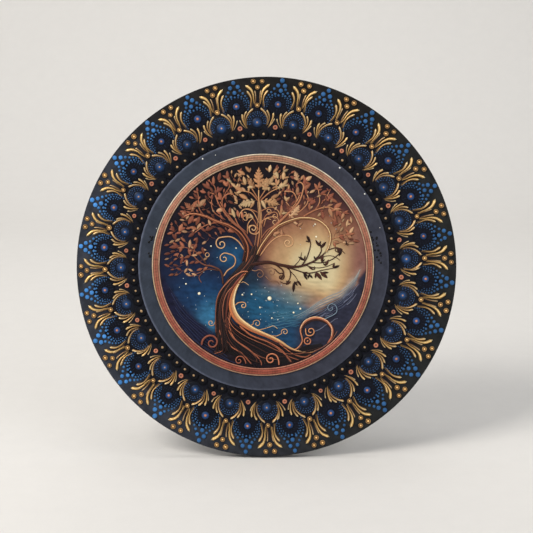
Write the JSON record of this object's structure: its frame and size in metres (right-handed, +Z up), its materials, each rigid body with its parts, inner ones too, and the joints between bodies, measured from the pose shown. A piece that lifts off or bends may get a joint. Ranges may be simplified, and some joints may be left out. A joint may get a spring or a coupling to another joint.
{
  "type": "tree of life plaque",
  "caption": "Round black clay plaque with a blue and gold dotted rim, a copper ring round a relief tree of life, a hinged easel strut and a hanging ring.",
  "frame": {"origin": "on the floor, at the centre of the standing plaque's box", "axes": "+X to the viewer's right, +Y from the picture face towards the strut, +Z up; the disc leans 12 degrees back"},
  "size_m": [0.3, 0.0756, 0.2948],
  "materials": {
    "black_clay": "matt slip over fired clay, fine grain",
    "slate_slip": "matt painted slip",
    "cream_slip": "satin",
    "copper_slip": "satin metallic paint, fine grooves",
    "sand_slip": "satin",
    "night_picture": "satin painted picture",
    "bark_dark": "satin",
    "glow": "satin",
    "limb_copper": "satin",
    "limb_sand": "satin",
    "stem_tan": "satin",
    "branch_brown": "satin",
    "branch_umber": "satin",
    "leaf_copper": "satin",
    "leaf_tan": "satin",
    "leaf_cream": "satin",
    "leaf_dark": "satin",
    "root_copper": "satin",
    "scroll_copper": "satin",
    "tendril_cream": "satin",
    "star_cream": "satin",
    "blue_bright": "satin raised paint",
    "blue_eye": "satin raised paint",
    "blue_petal": "satin raised paint",
    "blue_deep": "satin raised paint",
    "navy": "satin raised paint",
    "copper_bead": "satin metallic paint",
    "gold_stroke": "metallic gold paint",
    "gold_arch": "metallic gold paint",
    "bronze_bead": "metallic paint",
    "copper_drop": "metallic paint",
    "black_bead": "satin",
    "pale_gold": "metallic paint",
    "white_speck": "satin",
    "board_wood": "stained board",
    "strut_wood": "stained board",
    "brass": "brushed",
    "rivet_brass": "polished",
    "pin_brass": "plain",
    "foot_rubber": "matt"
  },
  "bodies": {
    "plaque": {"base_disc": "black_clay", "slate_band": "slate_slip", "ring_outer_bead": "cream_slip", "copper_ring": "copper_slip", "ring_inner_bead": "sand_slip", "medallion_panel": "night_picture", "trunk": "bark_dark", "trunk_crescent": "glow", "left_limbs": "limb_copper", "right_limbs": "limb_sand", "crown_stem": "stem_tan", "low_branches": "branch_brown", "dark_branches": "branch_umber", "left_leaves": "leaf_copper", "right_leaves": "leaf_tan", "crown_leaves": "leaf_cream", "dark_leaves": "leaf_dark", "roots": "root_copper", "root_scrolls": "scroll_copper", "tendrils": "tendril_cream", "stars": "star_cream", "flower_eyes": "blue_eye", "flower_eye_beads": "copper_bead", "flower_tip_dots": "blue_bright", "flower_petal_dots": "blue_petal", "inner_flower_eyes": "blue_deep", "inner_eye_beads": "copper_bead", "inner_petal_dots": "navy", "fan_strokes": "gold_stroke", "arch_strokes": "gold_arch", "rim_beads": "bronze_bead", "copper_beads": "copper_drop", "black_beads": "black_bead", "gold_pips": "pale_gold", "band_specks": "white_speck", "easel_board": "board_wood", "hinge_fixed_leaf": "brass", "hinge_pin": "pin_brass", "hinge_rivets": "rivet_brass", "hanger_strap": "brass", "hanger_rivet": "rivet_brass"},
    "easel_strut": {"strut": "strut_wood", "hinge_moving_leaf": "brass", "strut_rivets": "rivet_brass", "foot_pad": "foot_rubber"},
    "ring": {"hanger_ring": "rivet_brass"}
  },
  "joints": [
    {"name": "strut_fold", "type": "hinge", "parent": "plaque", "child": "easel_strut", "pos_m": [0, 0.01179, 0.16479], "axis": [1, 0, 0], "range_deg": [-20, 0]},
    {"name": "ring_swing", "type": "hinge", "parent": "plaque", "child": "ring", "pos_m": [0, 0.02226, 0.23208], "axis": [1, 0, 0], "range_deg": [-8, 160]}
  ]
}
